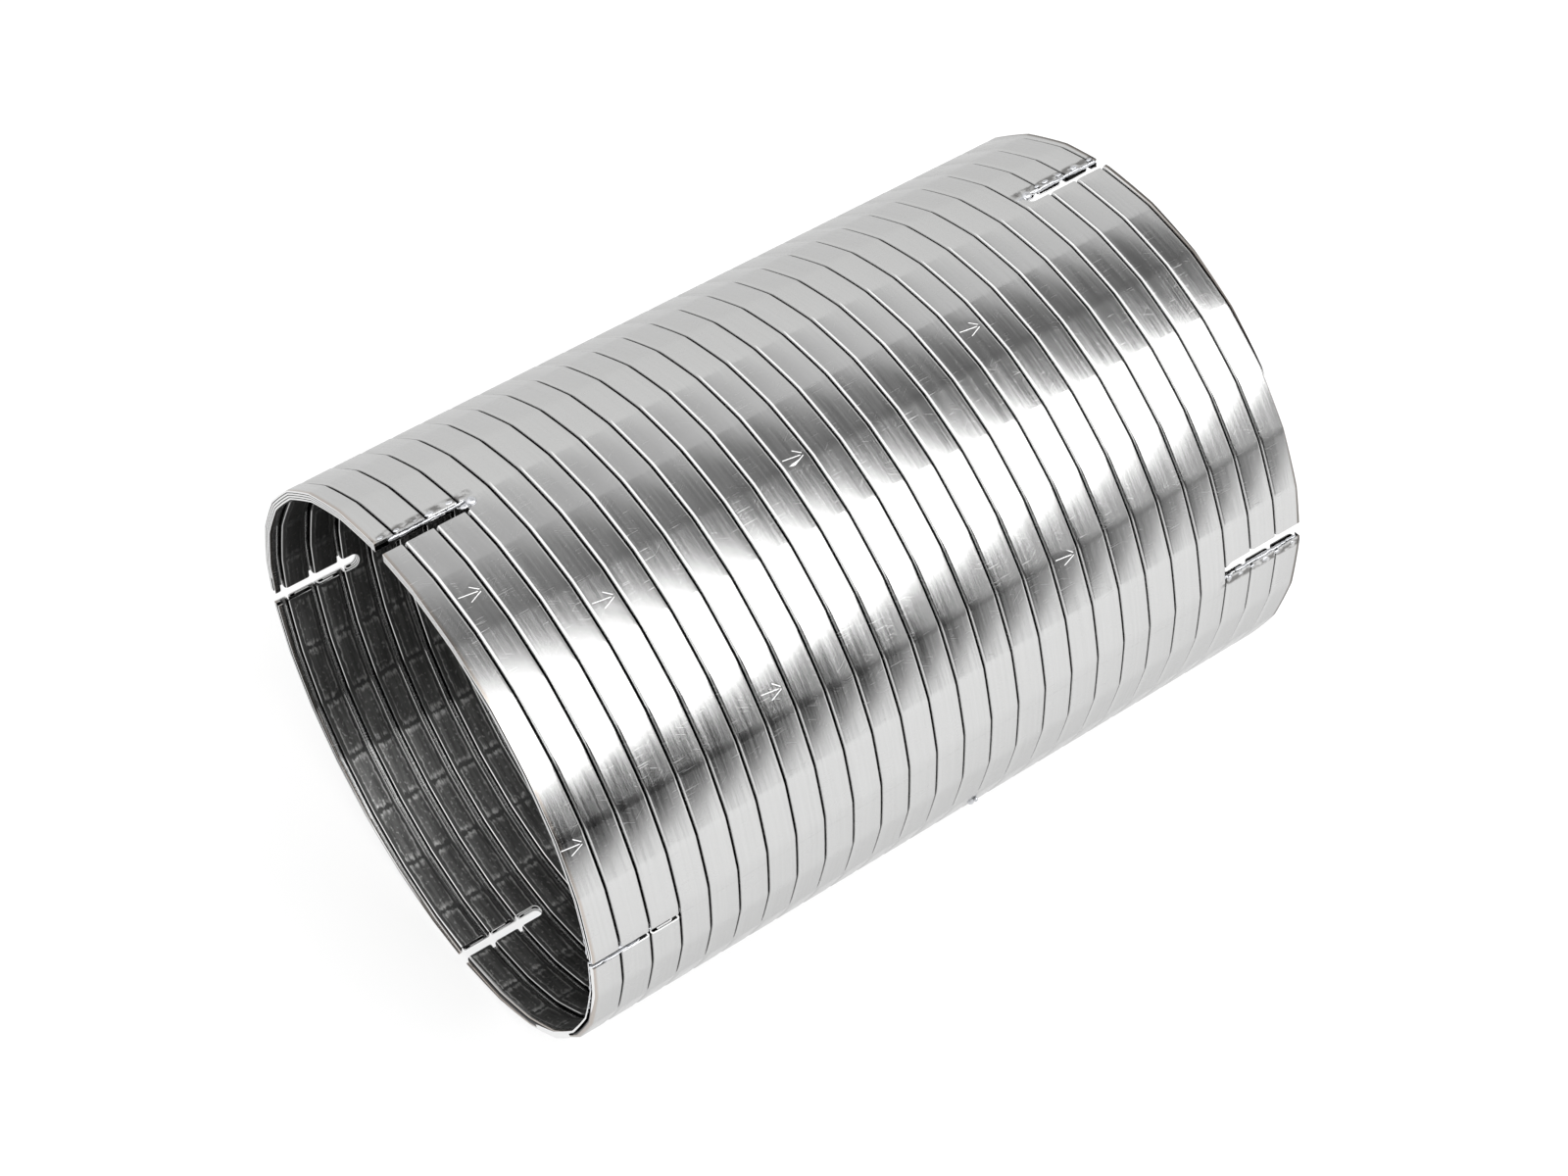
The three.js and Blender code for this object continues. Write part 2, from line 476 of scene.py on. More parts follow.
def strip_tree():
    """Winds the section from one turn count to another, with its stations gathered at the facet corners."""
    tree, given = shape_tree(
        "wound_strip", (*HELIX, "From", "To", "Crowding"), ("Facets", "Steps", "Points"), ("Section",)
    )
    grid_steps = given["Facets"] * given["Steps"]
    first = ((given["From"] - given["First Corner"]) * grid_steps).math("FLOOR")
    last = ((given["To"] - given["First Corner"]) * grid_steps).math("CEIL")
    stations = last - first + 1.0
    grid = add(tree, "GeometryNodeMeshGrid", {"Vertices X": stations, "Vertices Y": given["Points"]})
    index = Number(tree, add(tree, "GeometryNodeInputIndex").outputs[0])
    station = (index / given["Points"] + 1e-4).math("FLOOR")
    corner = index - station * given["Points"]
    place = (first + station) / given["Steps"]
    facet = (place + 1e-4).math("FLOOR")
    share = place - facet
    share = share - (share * math.tau).math("SINE") * given["Crowding"] / math.tau
    turn = given["First Corner"] + (facet + share) / given["Facets"]
    turn = turn.math("MAXIMUM", given["From"]).math("MINIMUM", given["To"])
    position = add(tree, "GeometryNodeInputPosition")
    wanted = {"Geometry": object_shape(tree, given["Section"]), "Value": position, "Index": corner}
    sample = add(tree, "GeometryNodeSampleIndex", wanted, data_type="FLOAT_VECTOR")
    along, depth, around = split(tree, sample.outputs[0])
    laid = grid.outputs["Mesh"]
    maps = {
        "Strip": vector(tree, turn * given["Apothem"] * math.tau, around, 0.0),
        "Place": vector(tree, (turn - given["First Corner"]) * given["Facets"], depth, 0.0),
    }
    for name, value in maps.items():
        fixed = add(tree, "GeometryNodeFieldOnDomain", {0: value}, data_type="FLOAT_VECTOR", domain="POINT")
        stored = {"Geometry": laid, "Name": name, "Value": fixed}
        store = add(tree, "GeometryNodeStoreNamedAttribute", stored, data_type="FLOAT2", domain="CORNER")
        laid = store.outputs[0]
    place = helix_point(tree, given, turn, along, depth)
    shaped = add(tree, "GeometryNodeSetPosition", {"Geometry": laid, "Position": place})
    merged = add(tree, "GeometryNodeMergeByDistance", {"Geometry": shaped, "Distance": 1e-6})
    finish_tree(tree, merged, given["Material"])
    return tree


def arrow_spots():
    """An object whose points hold the arrows' turn counts as x."""
    places = list(ARROW_PLACES.values())
    places += [places[-1] + ARROW_SPACING * step for step in range(1, ARROWS - max(ARROW_PLACES))]
    numbers = [*ARROW_PLACES, *range(max(ARROW_PLACES) + 1, ARROWS)]
    turns = np.interp(range(ARROWS), numbers, places).tolist()
    low, high = HIDDEN_SIDE
    kept = [turn for turn in turns if turn in ARROW_PLACES.values() or low < turn % 1 < high]
    return point_set("arrow_spots", [(turn, 0.0, 0.0) for turn in kept])


def arrow_tree():
    """Places the arrow die on each spot between two turn counts, square to the facet."""
    tree, given = shape_tree("flow_arrows", (*HELIX, "From", "To", "Middle"), ("Facets",), ("Die", "Spots"))
    listed = object_shape(tree, given["Spots"])
    position = add(tree, "GeometryNodeInputPosition")
    turn = split(tree, position)[0]
    outside = turn.math("LESS_THAN", given["From"]) + turn.math("GREATER_THAN", given["To"])
    kept = add(tree, "GeometryNodeDeleteGeometry", {"Geometry": listed, "Selection": outside})
    hold = add(tree, "GeometryNodeCaptureAttribute", {"Geometry": kept})
    hold.capture_items.new("FLOAT", "Turn")
    feed(tree, hold.inputs["Turn"], turn)
    turn = Number(tree, hold.outputs["Turn"])
    place = helix_point(tree, given, turn, given["Middle"], 0.0)
    spots = add(tree, "GeometryNodeSetPosition", {"Geometry": hold, "Position": place})
    lean = turn * math.tau - facet_angle(turn, given) * given["Flatness"]
    turned = add(tree, "FunctionNodeEulerToRotation", {0: vector(tree, lean, 0.0, 0.0)})
    instances = {"Points": spots, "Instance": object_shape(tree, given["Die"]), "Rotation": turned}
    placed = add(tree, "GeometryNodeInstanceOnPoints", instances)
    finish_tree(tree, placed, given["Material"])
    return tree


def helix_settings(sizes):
    return {
        "Apothem": APOTHEM,
        "Axis Height": AXIS_Z,
        "End": LOW.x,
        "Pitch": sizes.pitch,
        "First Seam": sizes.first_seam,
        "First Corner": sizes.first_corner,
        "Flatness": sizes.flatness,
        "Facets": sizes.facets,
    }


def wind(name, tree, section, sizes, start, end):
    """A closed piece of strip between two turn counts."""
    settings = helix_settings(sizes)
    settings.update({"From": start, "To": end, "Section": section, "Points": len(section.data.vertices)})
    settings.update({"Steps": sizes.steps, "Crowding": sizes.crowding})
    settings["Material"] = steel_material()
    piece = grow(name, tree, settings)
    close_ends(piece)
    return piece


def prism(name, outline, low, high):
    """A closed prism over a flat outline, between two heights."""
    form = bmesh.new()
    face = form.faces.new([form.verts.new((x, y, low)) for x, y in outline])
    pushed = bmesh.ops.extrude_face_region(form, geom=[face])["geom"]
    raised = [part for part in pushed if isinstance(part, bmesh.types.BMVert)]
    bmesh.ops.translate(form, verts=raised, vec=(0, 0, high - low))
    bmesh.ops.recalc_face_normals(form, faces=form.faces)
    mesh = bpy.data.meshes.new(name)
    form.to_mesh(mesh)
    form.free()
    return add_object(name, mesh)


def joined(name, objects):
    """One object that holds the closed meshes of several, which are removed."""
    form = bmesh.new()
    for obj in objects:
        form.from_mesh(obj.data)
        remove(obj)
    bmesh.ops.recalc_face_normals(form, faces=form.faces)
    mesh = bpy.data.meshes.new(name)
    form.to_mesh(mesh)
    form.free()
    return add_object(name, mesh)


def arrow_die(sizes):
    """The stamp of a flow arrow: three separate strokes with V-shaped feet, pointing along +X."""
    half = sizes.length / 2
    strokes = [((-half, half * 0.25), (half * 0.75, 0.0))]
    strokes.append(((half * 0.97, half * 0.12), (half * 0.3, half * 0.72)))
    strokes.append(((half * 0.97, -half * 0.12), (-half * 0.25, -half * 0.62)))
    width = sizes.stroke / 2
    profile = [(-width, width * 2), (-width, 0.0), (0.0, -sizes.sink), (width, 0.0), (width, width * 2)]
    parts = []
    for tail, tip in strokes:
        tail, tip = Vector(tail), Vector(tip)
        part = prism("stroke", profile, 0.0, (tip - tail).length)
        heading = (tip - tail).normalized()
        across = Vector((-heading.y, heading.x))
        matrix = Matrix(
            (
                (across.x, 0.0, heading.x, tail.x),
                (across.y, 0.0, heading.y, tail.y),
                (0.0, 1.0, 0.0, 0.0),
                (0.0, 0.0, 0.0, 1.0),
            )
        )
        part.data.transform(matrix)
        parts.append(part)
    return joined("arrow_die", parts)


def stamp(piece, tree, sizes, die, spots, start, end):
    """Stamps the arrows that fall between two turn counts into a piece of strip."""
    settings = helix_settings(sizes)
    settings.update({"From": start + ARROW_MARGIN, "To": end - ARROW_MARGIN, "Die": die, "Spots": spots})
    settings["Middle"] = (sizes.pitch - sizes.seam_gap) / 2
    stamps = grow("stamps", tree, settings)
    if stamps.data.polygons:
        carve(piece, stamps)
    remove(stamps)


def to_slot(end, degrees):
    """From a slot's frame to the pipe's: x runs in from the rim, y towards greater angles, z outwards."""
    outward = -1 if end == "a" else 1
    rim = LOW.x if end == "a" else HIGH.x
    turn = Matrix.Rotation(math.radians(degrees), 4, "X")
    place = Matrix.Translation((rim, 0, AXIS_Z)) @ turn @ Matrix.Translation((0, 0, APOTHEM))
    flip = Matrix.Diagonal((-outward, -1, 1, 1))
    return place @ flip


def slot_angle(slot_name):
    return SLOTS[slot_name[0]][int(slot_name[1]) - 1]


def slot_edge(slot_name, side):
    """How far an edge of a slot lies from the slot's line in the frame; side is +1 at the greater angle."""
    width, shift = SAWN[slot_name]
    return (shift + side * width / 2) * MM


def slot_cutters(end, sizes, strip):
    """The four saw cuts of an end, each with a round blind end."""
    arc = [math.radians(angle) for angle in range(-90, 91, 15)]
    wall = 4 * strip.layer
    cuts = []
    for number in range(1, 5):
        slot_name = end + str(number)
        low, high = slot_edge(slot_name, -1), slot_edge(slot_name, 1)
        radius = (high - low) / 2
        outline = [(-CUT_PAST, low)]
        for angle in arc:
            x = sizes.depth - radius * 0.8 + radius * 0.8 * math.cos(angle)
            outline.append((x, (low + high) / 2 + radius * math.sin(angle)))
        outline.append((-CUT_PAST, high))
        cutter = prism("slot_cut", outline, -2 * wall, wall)
        cutter.data.transform(to_slot(end, slot_angle(slot_name)))
        cuts.append(cutter)
    return joined("slot_cuts_" + end, cuts)


def pipe_block():
    """A block between the two square-cut ends, wider than the pipe."""
    half = 2 * APOTHEM
    outline = [(LOW.x, -half), (HIGH.x, -half), (HIGH.x, half), (LOW.x, half)]
    return prism("pipe_block", outline, AXIS_Z - half, AXIS_Z + half)


def winding_share(obj, start, end):
    """How far along the strip each point lies, from 0 at one turn count to 1 at another."""
    point = np.empty(len(obj.data.vertices) * 3)
    obj.data.vertices.foreach_get("co", point)
    point = point.reshape(-1, 3)
    turn = np.arctan2(-point[:, 1], point[:, 2] - AXIS_Z) / math.tau
    return np.clip(((turn - start + JOIN_GAP / 2) % 1.0 - JOIN_GAP / 2) / (end - start), 0, 1)


def winding_kit(scene):
    """The trees that wind and stamp strip, and the objects for its section, the arrow die and the arrows."""
    section = point_set("strip_section", section_points(scene.pipe_strip))
    return strip_tree(), arrow_tree(), section, arrow_die(scene.pipe_arrow), arrow_spots()


class PIPE_OT_wind_turns(bpy.types.Operator):
    """Wind the whole turns of the strip, stamp the flow arrows and saw the slots into the end turns"""

    bl_idname = "pipe.wind_turns"
    bl_label = "Wind Turns"

    def execute(self, context):
        strip = context.scene.pipe_strip
        winding, stamping, section, die, spots = winding_kit(context.scene)
        cuts = {end: slot_cutters(end, context.scene.pipe_slot, strip) for end in "ab"}
        for i in range(TURNS):
            number = FIRST_TURN + i
            start = i + FIRST_CUT["a"]
            end = TURNS + FIRST_CUT["b"] if i == TURNS - 1 else start + 1
            name = "strip_turn_%02d" % number
            turn = wind(name, winding, section, strip, start + JOIN_GAP, end - JOIN_GAP)
            stamp(turn, stamping, strip, die, spots, start, end)
            if number <= LAST_SAWN_AT_A:
                carve(turn, cuts["a"])
            if number >= FIRST_SAWN_AT_B:
                carve(turn, cuts["b"])
            sharpen(turn)
            if number <= LAST_SAWN_AT_A:
                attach(turn, "end_a")
            elif number == FIRST_TURN + TURNS - 1:
                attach(turn, "end_b")
            else:
                share = winding_share(turn, start, end)
                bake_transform(turn)
            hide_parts("turn_%02d" % number)
        for tool in (section, die, spots, *cuts.values()):
            remove(tool)
        return {"FINISHED"}


def drop_offcuts(obj, smallest):
    """Keeps the closed pieces of a mesh whose volume reaches the smallest, and drops the rest."""
    form = bmesh.new()
    form.from_mesh(obj.data)
    unseen = set(form.verts)
    while unseen:
        island = {unseen.pop()}
        border = list(island)
        while border:
            for edge in border.pop().link_edges:
                for vert in edge.verts:
                    if vert in unseen:
                        unseen.discard(vert)
                        island.add(vert)
                        border.append(vert)
        piece = bmesh.new()
        faces = {face for vert in island for face in vert.link_faces}
        copies = {vert: piece.verts.new(vert.co) for vert in island}
        for face in faces:
            piece.faces.new([copies[vert] for vert in face.verts])
        if abs(piece.calc_volume()) < smallest:
            bmesh.ops.delete(form, geom=list(island), context="VERTS")
        piece.free()
    form.to_mesh(obj.data)
    form.free()


class PIPE_OT_clamp_tabs(bpy.types.Operator):
    """Wind the arcs of strip that the slots sever, and cut them off square at the rims"""

    bl_idname = "pipe.clamp_tabs"
    bl_label = "Clamp Tabs"

    def execute(self, context):
        strip = context.scene.pipe_strip
        around = APOTHEM * math.tau
        winding, stamping, section, die, spots = winding_kit(context.scene)
        block = pipe_block()
        for end, rings in RINGS.items():
            slots = [degrees / 360 for degrees in SLOTS[end]]
            for ring, start in rings.items():
                for tab in range(4):
                    node = "tab_%s%d_%s" % (end, tab + 1, ring)
                    if node not in BODY_OF:
                        continue
                    begin = start + slots[tab] - slots[0] + slot_edge(end + str(tab + 1), 1) / around
                    stop = start + (slots[tab + 1] - slots[0] if tab < 3 else 1.0)
                    stop += slot_edge(end + str((tab + 1) % 4 + 1), -1) / around
                    arc = wind("strip_" + node, winding, section, strip, begin, stop)
                    stamp(arc, stamping, strip, die, spots, begin, stop)
                    carve(arc, block, "INTERSECT")
                    drop_offcuts(arc, SMALLEST_OFFCUT)
                    sharpen(arc)
                    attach(arc, BODY_OF[node])
                    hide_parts(node)
        for tool in (section, die, spots, block):
            remove(tool)
        return {"FINISHED"}


def random_number(tree, index, seed):
    """A random number from 0 to 1 for each index."""
    random = add(tree, "FunctionNodeRandomValue", data_type="FLOAT")
    for socket in random.inputs:
        if socket.enabled and socket.name in ("ID", "Seed"):
            feed(tree, socket, index if socket.name == "ID" else seed)
    return Number(tree, next(each for each in random.outputs if each.enabled))


def bead_tree():
    """A row of molten beads along x, with a lumpy lip in front of it, melted into one body."""
    numbers = ("Start", "Pitch", "Across", "Up", "Length", "Width", "Height", "Jitter")
    lips = ("Lip Start", "Lip Pitch", "Lip Across", "Lip Down", "Lip Width", "Lip Height")
    tree, given = shape_tree("weld_beads", (*numbers, *lips, "Voxel"), ("Beads", "Lip Lumps", "Seed"))
    bead_row = [given[each] for each in ("Beads", *numbers[:-1])]
    lip_row = [given[each] for each in ("Lip Lumps", *lips[:-2])]
    lip_row[4] = -lip_row[4]
    lip_row += [given["Lip Pitch"] * 0.95, given["Lip Width"], given["Lip Height"]]
    both = tree.nodes.new("GeometryNodeJoinGeometry")
    for row, (count, start, pitch, across, up, length, width, height) in enumerate((bead_row, lip_row)):
        line = add(tree, "GeometryNodeMeshLine", {"Count": count})
        index = Number(tree, add(tree, "GeometryNodeInputIndex").outputs[0])
        seeds = [given["Seed"] + float(10 * row + draw) for draw in range(4)]
        wander = [(random_number(tree, index, seed) - 0.5) * given["Jitter"] for seed in seeds]
        x = start + (index + wander[0]) * pitch
        y = across + wander[1] * width
        z = up + wander[2] * height
        spots = add(tree, "GeometryNodeSetPosition", {0: line, "Position": vector(tree, x, y, z)})
        ball = add(tree, "GeometryNodeMeshIcoSphere", {"Radius": 1.0, "Subdivisions": 3})
        size = wander[3] + 1.0
        halves = vector(tree, length * size, width * size, height * size)
        instances = {"Points": spots, "Instance": ball, "Scale": halves}
        placed = add(tree, "GeometryNodeInstanceOnPoints", instances)
        tree.links.new(placed.outputs[0], both.inputs[0])
    real = add(tree, "GeometryNodeRealizeInstances", {0: both})
    melt = {"Mesh": real, "Voxel Size": given["Voxel"], "Interior Band Width": given["Voxel"] * 3.0}
    cloud = add(tree, "GeometryNodeMeshToVolume", melt, resolution_mode="VOXEL_SIZE")
    skin = add(tree, "GeometryNodeVolumeToMesh", {"Volume": cloud, "Threshold": 0.1})
    finish_tree(tree, skin, given["Material"])
    return tree


# Every edge with a weld row: the slot, which edge (+1 at the greater angle), and how the edge is melted. An
# open edge keeps its straight cut, a lipped one has a lumpy lip, and the lips of a shut slot nearly meet.
WELD_EDGES = (
    ("a1", -1, "shut"),
    ("a1", 1, "shut"),
    ("a2", -1, "open"),
    ("a3", -1, "open"),
    ("a4", -1, "lipped"),
    ("b1", 1, "lipped"),
    ("b2", -1, "open"),
    ("b3", -1, "open"),
    ("b4", -1, "lipped"),
)
# Beads where a welder stopped, at blind ends: distance past the slot's line and radius, in millimetres.
STOPS = {"a4": (0.1, 1.15), "b1": (0.9, 0.8), "b4": (-1.6, 1.1)}
# Molten ropes along edges: distance past the slot's line, half width and start from the rim, in millimetres.
ROPES = {"a4": (-1.15, 0.32, 5.0), "b1": (0.55, 0.32, 1.8), "b4": (-2.05, 0.3, 1.8)}
SEED_STEP = 20  # between the seeds of two rows of beads


class PIPE_OT_tack_welds(bpy.types.Operator):
    """Lay a row of tack-weld beads along an edge of each slot, and a stop bead at the blind ends of slots a4,
    b1 and b4
    """

    bl_idname = "pipe.tack_welds"
    bl_label = "Tack Welds"

    def execute(self, context):
        slot = context.scene.pipe_slot
        melting = bead_tree()
        for seed, (slot_name, side, style) in enumerate(WELD_EDGES):
            settings = bead_settings(slot, slot_edge(slot_name, side), side)
            settings["Seed"] = SEED_STEP * seed
            if style == "open":
                settings["Lip Lumps"] = 0
            if slot_name in ROPES:
                across, width, start = ROPES[slot_name]
                settings.update(metres(lip_across=across, lip_width=width, lip_start=start))
                settings.update(metres(lip_down=0.45, lip_height=0.5))
            if style == "shut":
                across = slot_edge(slot_name, side) - side * 0.15 * MM
                settings.update({"Across": across, "Lip Across": across})
                settings.update({"Beads": 1, "Lip Lumps": 7 if side < 0 else 4})
                settings.update(metres(start=9.0, width=0.22, up=-0.3))
                settings.update(metres(lip_start=2.0, lip_pitch=2.7, lip_width=0.22, lip_height=0.7))
            node = "weld_" + slot_name
            own = node in BODY_OF and (slot_name != "a1" or side < 0)
            row = grow("bead_row_" + slot_name + ("" if own else "_far"), melting, settings)
            lay(row, to_slot(slot_name[0], slot_angle(slot_name)))
            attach(row, BODY_OF[node] if own else "tab_a1")
            if own:
                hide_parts(node)
        for seed, (slot_name, (across, radius)) in enumerate(STOPS.items()):
            settings = bead_settings(slot, 0.0, 1)
            settings.update({"Seed": 300 + SEED_STEP * seed, "Lip Lumps": 2, "Beads": 1})
            settings.update({"Start": slot.depth - 0.5 * MM, "Lip Start": slot.depth - 1.2 * MM})
            settings.update(metres(across=across, length=radius, width=radius, height=radius * 0.75))
            settings.update(metres(lip_across=across, lip_width=radius * 0.6, lip_down=0.3, lip_height=0.4))
            stop = grow("stop_bead_" + slot_name, melting, settings)
            lay(stop, to_slot(slot_name[0], slot_angle(slot_name)))
            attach(stop, "end_" + slot_name[0])
        return {"FINISHED"}


def metres(**sizes):
    """Inputs of the bead tree, from millimetres."""
    return {name.replace("_", " ").title(): size * MM for name, size in sizes.items()}


def bead_settings(slot, edge, side):
    """A weld row's inputs, in the frame of a slot: x in from the rim, y across the slot, z out."""
    settings = {
        "Start": slot.bead_start,
        "Pitch": slot.bead_pitch,
        "Beads": slot.beads,
        "Across": edge + side * 0.8 * MM,
        "Jitter": 0.5,
        "Lip Pitch": slot.lip_pitch,
        "Lip Across": edge + side * 0.08 * MM,
        "Lip Lumps": slot.lip_lumps,
        "Material": weld_material(),
    }
    settings.update(metres(up=0.08, length=0.95, width=0.55, height=0.36, voxel=0.11))
    settings.update(metres(lip_start=5.0, lip_down=0.85, lip_width=0.3, lip_height=0.9))
    return settings


def lay(obj, place):
    """Moves new weld metal to its place."""
    obj.data.transform(place)
    smooth_all(obj)


def bend_round(obj, degrees, x, radius):
    """Wraps weld metal that was made along x round the pipe's axis, starting at an angle."""
    mesh = obj.data
    point = np.empty(len(mesh.vertices) * 3)
    mesh.vertices.foreach_get("co", point)
    along, across, up = point.reshape(-1, 3).T
    angle = math.radians(degrees) + along / radius
    out = radius + up
    bent = np.stack((x + across, -out * np.sin(angle), AXIS_Z + out * np.cos(angle)), axis=1)
    mesh.vertices.foreach_set("co", bent.ravel())
    mesh.update()


# Spatter and small tacks: name, body, start angle in degrees, x in millimetres, radius of their row in
# millimetres, beads, pitch, and the half length, width and height of one, in millimetres.
TACKS = (
    ("rim_tack_upper", "tab_a4", 74.5, -99.95, 67.3, 9, 1.35, (0.7, 0.22, 0.3)),
    ("rim_tack_lower", "tab_a1", 87.2, -99.95, 67.3, 17, 1.3, (0.62, 0.24, 0.34)),
    ("splice_nugget", "turn_14", 113.6, 9.0, 69.3, 3, 1.3, (1.0, 0.75, 0.8)),
)


class PIPE_OT_small_tacks(bpy.types.Operator):
    """Lay the spatter along end A's rim and the nugget where the strip is spliced"""

    bl_idname = "pipe.small_tacks"
    bl_label = "Small Tacks"

    def execute(self, context):
        slot = context.scene.pipe_slot
        melting = bead_tree()
        for seed, (name, body, degrees, x, radius, beads, pitch, halves) in enumerate(TACKS):
            settings = bead_settings(slot, 0.0, 1)
            settings.update({"Seed": 500 + SEED_STEP * seed, "Lip Lumps": 0, "Beads": beads, "Jitter": 0.8})
            settings.update(metres(start=0.0, across=0.0, pitch=pitch, voxel=0.09))
            settings.update(zip(("Length", "Width", "Height"), [half * MM for half in halves]))
            tack = grow(name, melting, settings)
            bend_round(tack, degrees, x * MM, radius * MM)
            lay(tack, Matrix.Identity(4))
            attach(tack, body)
        return {"FINISHED"}


def smooth_all(obj):
    """Smooth faces all over, turned outwards."""
    form = bmesh.new()
    form.from_mesh(obj.data)
    bmesh.ops.recalc_face_normals(form, faces=form.faces)
    form.to_mesh(obj.data)
    form.free()
    obj.data.polygons.foreach_set("use_smooth", np.ones(len(obj.data.polygons), bool))


# Materials.

BORE_FACE = 2.185 * MM  # the inner band's bare face lies deeper than this below the outer flat

def new_material(name):
    """An empty material with its shader, and the tree they are in."""
    material = bpy.data.materials.new(name)
    material.use_nodes = True
    tree = material.node_tree
    return material, tree, tree.nodes["Principled BSDF"]


def noise(tree, place, detail=2.0, roughness=0.5, scale=1.0):
    inputs = {"Vector": place, "Scale": scale, "Detail": detail, "Roughness": roughness}
    return Number(tree, add(tree, "ShaderNodeTexNoise", inputs).outputs[0])


def strip_noise(along, around, seed=0.0, detail=3.0, roughness=0.5):
    """Noise on the strip, from scaled distances along and around it."""
    return noise(along.tree, vector(along.tree, along, around, seed), detail=detail, roughness=roughness)


def ramp(value, low, high):
    """0 below the low value, 1 above the high one, with a soft rise between them."""
    inputs = {"Value": value, "From Min": low, "From Max": high}
    node = add(value.tree, "ShaderNodeMapRange", inputs, interpolation_type="SMOOTHSTEP")
    return Number(value.tree, node.outputs[0])


def mix_colour(tree, share, first, second):
    node = add(tree, "ShaderNodeMix", {0: share}, data_type="RGBA")
    for socket, value in ((node.inputs[6], first), (node.inputs[7], second)):
        feed(tree, socket, value if isinstance(value, bpy.types.NodeSocket) else (*value, 1.0))
    return node.outputs[2]


def nearest_weld(tree, spot):
    """The distance, seen along the pipe, to the nearest weld row of the end that a point is near."""
    x, y, z = split(tree, spot)
    flat = vector(tree, 0.0, y, z)
    nearest = {"a": None, "b": None}
    for slot_name, side, style in WELD_EDGES:
        if style == "shut":
            continue
        end = slot_name[0]
        row = math.radians(slot_angle(slot_name)) + (slot_edge(slot_name, side) + side * 1.3 * MM) / APOTHEM
        node = add(tree, "ShaderNodeVectorMath", {0: flat}, operation="DISTANCE")
        node.inputs[1].default_value = (0.0, -APOTHEM * math.sin(row), AXIS_Z + APOTHEM * math.cos(row))
        gap = Number(tree, node.outputs["Value"])
        nearest[end] = gap if nearest[end] is None else nearest[end].math("MINIMUM", gap)
    at_b = x.math("GREATER_THAN", 0.0)
    return nearest["a"] * (1.0 - at_b) + nearest["b"] * at_b, x.math("ABSOLUTE")


